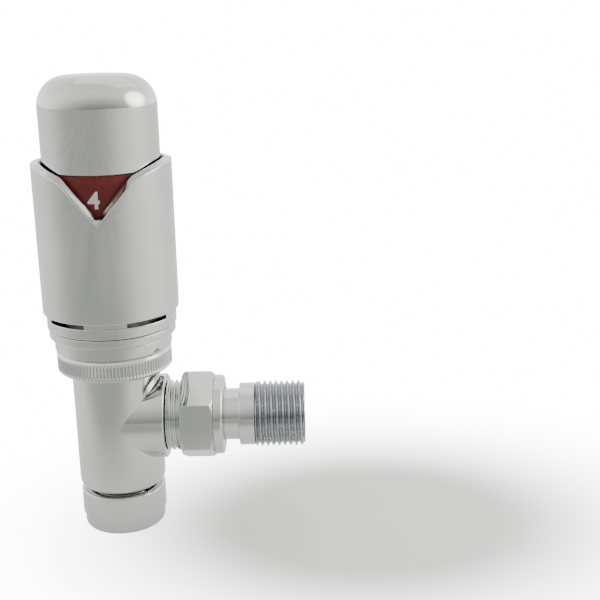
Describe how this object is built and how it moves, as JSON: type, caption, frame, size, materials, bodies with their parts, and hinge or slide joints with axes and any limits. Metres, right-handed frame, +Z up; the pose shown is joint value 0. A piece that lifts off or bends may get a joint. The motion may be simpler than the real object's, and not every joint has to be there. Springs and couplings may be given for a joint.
{
  "type": "thermostatic radiator valve",
  "caption": "Angle thermostatic radiator valve with a sleeved sensor head, turning cap and numbered dial, compression inlet and union tail.",
  "frame": {"origin": "middle of the overall box's underside, in the plane of the compression nut's foot; the valve axis stands 19.45 mm towards -X of it", "axes": "+Z up along the valve axis, +X along the union tail towards the radiator, the dial's pointer notch faces -Y turned 4 degrees towards +X"},
  "size_m": [0.0808, 0.042, 0.1438],
  "materials": {
    "chrome": "polished chrome plate",
    "brass": "turned, bare",
    "steel": "drawn stainless",
    "red_plastic": "moulded dark red",
    "white_plastic": "moulded off-white",
    "rubber": "moulded black"
  },
  "bodies": {
    "valve": {"valve_body": "chrome", "olive": "brass", "union_gasket": "rubber", "tail_piece": "chrome", "valve_insert": "brass", "insert_seal": "rubber", "gland_nut": "brass", "spindle_o_ring": "rubber", "head_base": "chrome", "limit_ring": "chrome", "vent_ring": "chrome", "pointer_sleeve": "chrome", "handle_clip": "steel", "guide_tube": "white_plastic"},
    "handle": {"turning_cap": "chrome", "dial_ring": "red_plastic", "handle_core": "white_plastic"},
    "sensor": {"sensor_carriage": "white_plastic", "sensor_capsule": "brass", "push_rod": "steel", "override_spring": "steel", "spring_cap": "white_plastic"},
    "stem": {"spindle": "steel", "seat_washer": "rubber", "disc_holder": "brass", "disc_nut": "brass", "return_spring": "steel"},
    "head_ring": {"ring_nut": "chrome"},
    "union_ring": {"union_nut": "chrome"},
    "inlet_ring": {"compression_nut": "chrome"}
  },
  "joints": [
    {"name": "cap_spin", "type": "hinge", "parent": "valve", "child": "handle", "pos_m": [-0.01945, 0, 0.13], "axis": [0, 0, 1], "range_deg": [-220, 55]},
    {"name": "sensor_travel", "type": "slide", "parent": "valve", "child": "sensor", "axis": [0, 0, 1], "range_m": [-0.00246, 0.00063]},
    {"name": "stem_travel", "type": "slide", "parent": "valve", "child": "stem", "axis": [0, 0, 1], "range_m": [-0.00246, 0.00063], "deforming": ["return_spring"]},
    {"name": "ring_nut_spin", "type": "hinge", "parent": "valve", "child": "head_ring", "pos_m": [-0.01945, 0, 0.056], "axis": [0, 0, 1], "continuous": true},
    {"name": "union_nut_spin", "type": "hinge", "parent": "valve", "child": "union_ring", "pos_m": [0.006, 0, 0.0358], "axis": [1, 0, 0], "continuous": true},
    {"name": "compression_nut_spin", "type": "hinge", "parent": "valve", "child": "inlet_ring", "pos_m": [-0.01945, 0, 0.006], "axis": [0, 0, 1], "continuous": true}
  ],
  "couplings": [
    {"joint": "sensor_travel", "follows": "cap_spin", "m_per_rad": 0.00063662},
    {"joint": "stem_travel", "follows": "cap_spin", "m_per_rad": 0.00063662}
  ]
}
